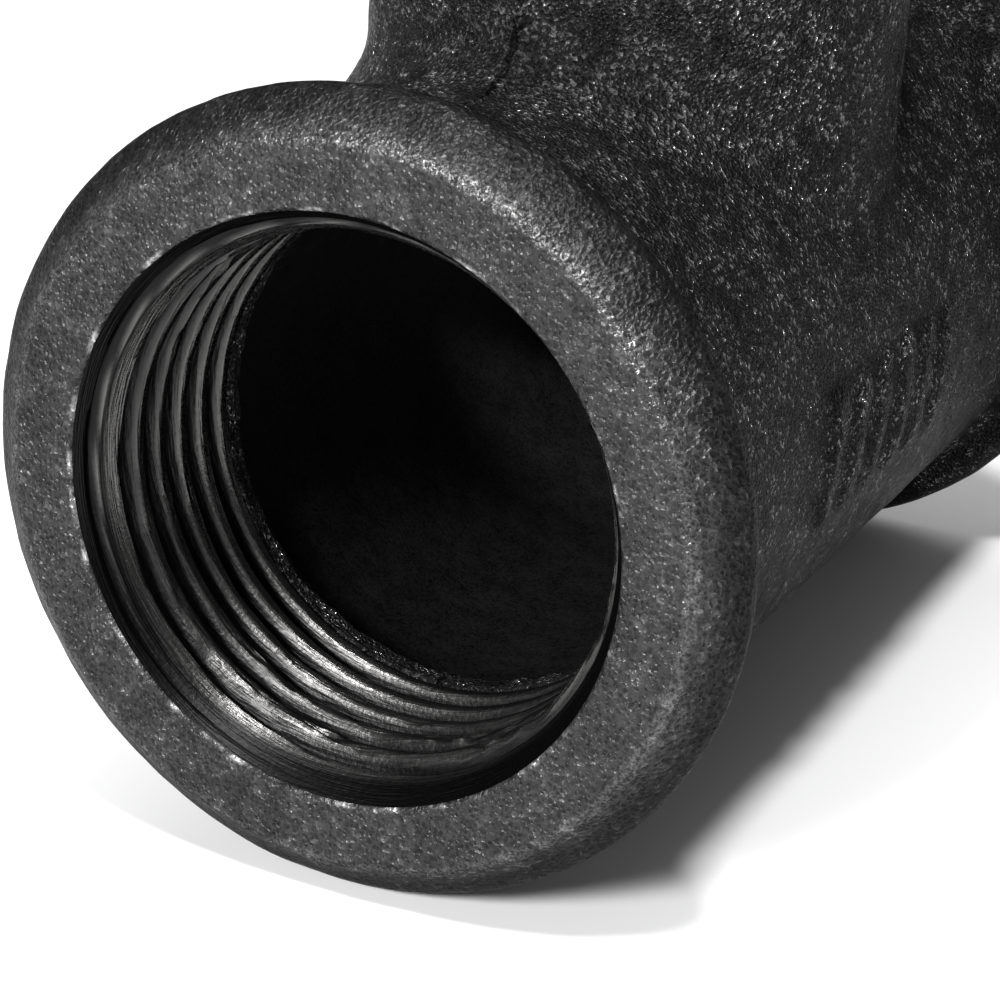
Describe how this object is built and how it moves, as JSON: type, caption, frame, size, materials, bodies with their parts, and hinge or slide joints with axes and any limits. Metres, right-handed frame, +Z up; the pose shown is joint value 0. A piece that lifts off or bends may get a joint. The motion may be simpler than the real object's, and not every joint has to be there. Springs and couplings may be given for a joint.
{
  "type": "pipe tee",
  "caption": "Cast-iron reducing pipe tee with a threaded socket at each run end and a smaller threaded branch, each mouth ringed by a reinforcing band.",
  "frame": {"origin": "on the base plane that touches the two run bands, straight under the crossing of the run and branch axes", "axes": "+X along the run, away from the socket nearest the viewer; +Z up the branch, out of its mouth; +Y completes the frame, so the foundry marks are on the -Y side"},
  "size_m": [0.06, 0.037, 0.0495],
  "materials": {
    "run_barrel": "as-cast, blackened, sand-grain sparkle",
    "branch_neck": "as-cast, blackened, sand-grain sparkle",
    "run_band_near": "as-cast, blackened, sand-grain sparkle",
    "run_band_far": "as-cast, blackened, sand-grain sparkle",
    "branch_band": "as-cast, blackened, sand-grain sparkle",
    "run_thread_near": "tapped, oily dark grey with bright torn crests",
    "run_thread_far": "tapped, oily dark grey with bright torn crests",
    "branch_thread": "tapped, oily dark grey with bright torn crests",
    "cast_mark_1": "as-cast, blackened",
    "cast_mark_2": "as-cast, blackened",
    "cast_mark_3": "as-cast, blackened",
    "cast_mark_4": "as-cast, blackened",
    "cast_mark_5": "as-cast, blackened",
    "cast_mark_6": "as-cast, blackened"
  },
  "bodies": {
    "root": {"run_barrel": "run_barrel", "branch_neck": "branch_neck", "run_band_near": "run_band_near", "run_band_far": "run_band_far", "branch_band": "branch_band", "run_thread_near": "run_thread_near", "run_thread_far": "run_thread_far", "branch_thread": "branch_thread", "cast_mark_1": "cast_mark_1", "cast_mark_2": "cast_mark_2", "cast_mark_3": "cast_mark_3", "cast_mark_4": "cast_mark_4", "cast_mark_5": "cast_mark_5", "cast_mark_6": "cast_mark_6"}
  },
  "joints": []
}
